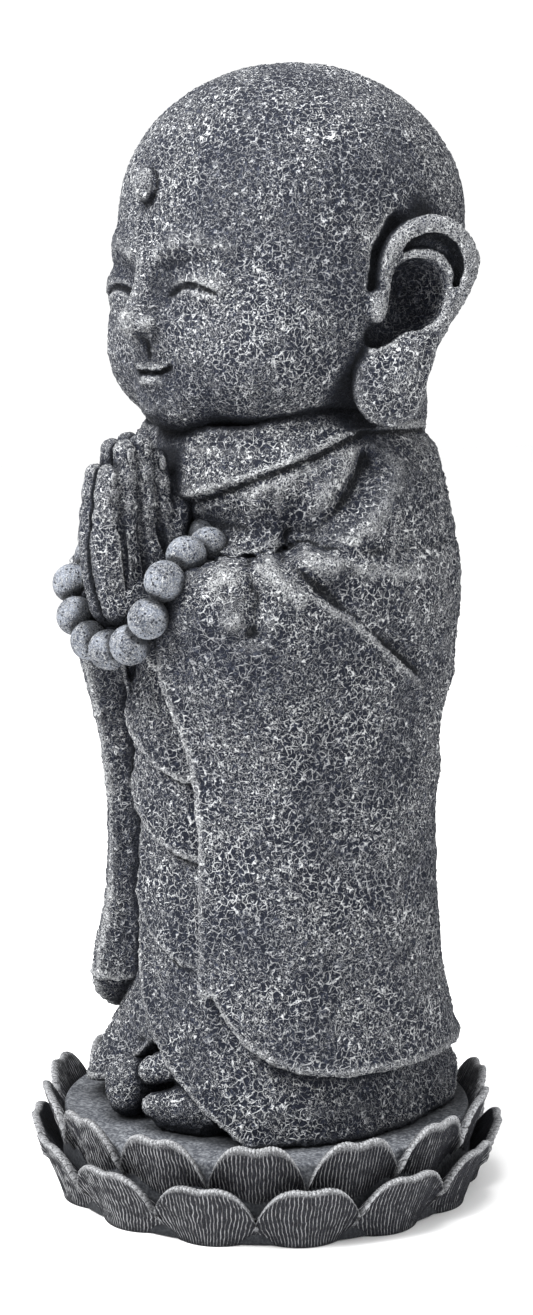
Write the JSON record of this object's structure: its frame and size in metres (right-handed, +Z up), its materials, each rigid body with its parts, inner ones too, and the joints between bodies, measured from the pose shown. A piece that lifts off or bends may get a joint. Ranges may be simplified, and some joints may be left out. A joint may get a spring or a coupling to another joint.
{
  "type": "stone jizo statue",
  "caption": "Jizo statue: a child monk with hands in prayer, a loop of prayer beads and a long-sleeved robe, on a lotus pedestal.",
  "frame": {"origin": "middle of the pedestal's underside, on the surface it stands on", "axes": "+Z up; the figure faces -Y and its left hand is on the +X side"},
  "size_m": [0.2628, 0.2582, 0.5998],
  "materials": {
    "figure_stone": "matt, coarse worm-track texture, dark blue-grey with pale grey rubbed on the high points",
    "pedestal_stone": "matt, veined petals and a fine-grained top, charcoal with pale grey rubbed on the veins and rims"
  },
  "bodies": {
    "root": {"jizo_figure": "figure_stone", "lotus_pedestal": "pedestal_stone"}
  },
  "joints": []
}
